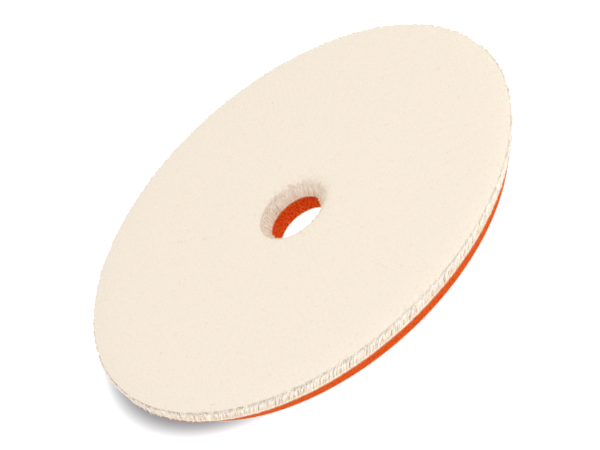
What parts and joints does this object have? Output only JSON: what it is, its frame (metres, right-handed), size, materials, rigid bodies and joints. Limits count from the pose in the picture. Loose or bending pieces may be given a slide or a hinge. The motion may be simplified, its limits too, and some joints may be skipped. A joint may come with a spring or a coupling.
{
  "type": "polishing pad",
  "caption": "Round wool-faced polishing pad with a bevelled foam interlayer, loop backing and a centre hole.",
  "frame": {"origin": "centre of the loop face, on the pad's axis, at the plane that lies against the backing plate", "axes": "+Z along the pad's axis, from the loop face to the pile; X and Y in the loop face, free to turn because the pad is round"},
  "size_m": [0.1654, 0.1654, 0.0133],
  "materials": {
    "loop_nap": "brushed white nylon loops",
    "loop_cloth": "white warp-knitted tricot",
    "glue": "thin clear-amber laminating film",
    "foam": "open-cell orange polyurethane foam, sliced edge",
    "fleece_cloth": "off-white knitted ground cloth",
    "wool": "cropped cream wool pile"
  },
  "bodies": {
    "backing": {"loop_nap": "loop_nap", "loop_cloth": "loop_cloth", "rear_glue_film": "glue", "foam_interlayer": "foam"},
    "face": {"front_glue_film": "glue", "fleece_cloth": "fleece_cloth", "wool_pile": "wool"}
  },
  "joints": [
    {"name": "face_press", "type": "slide", "parent": "backing", "child": "face", "axis": [0, 0, -1], "range_m": [0, 0.002], "stiffness_N_per_m": 40000, "deforming": ["foam_interlayer"]}
  ]
}
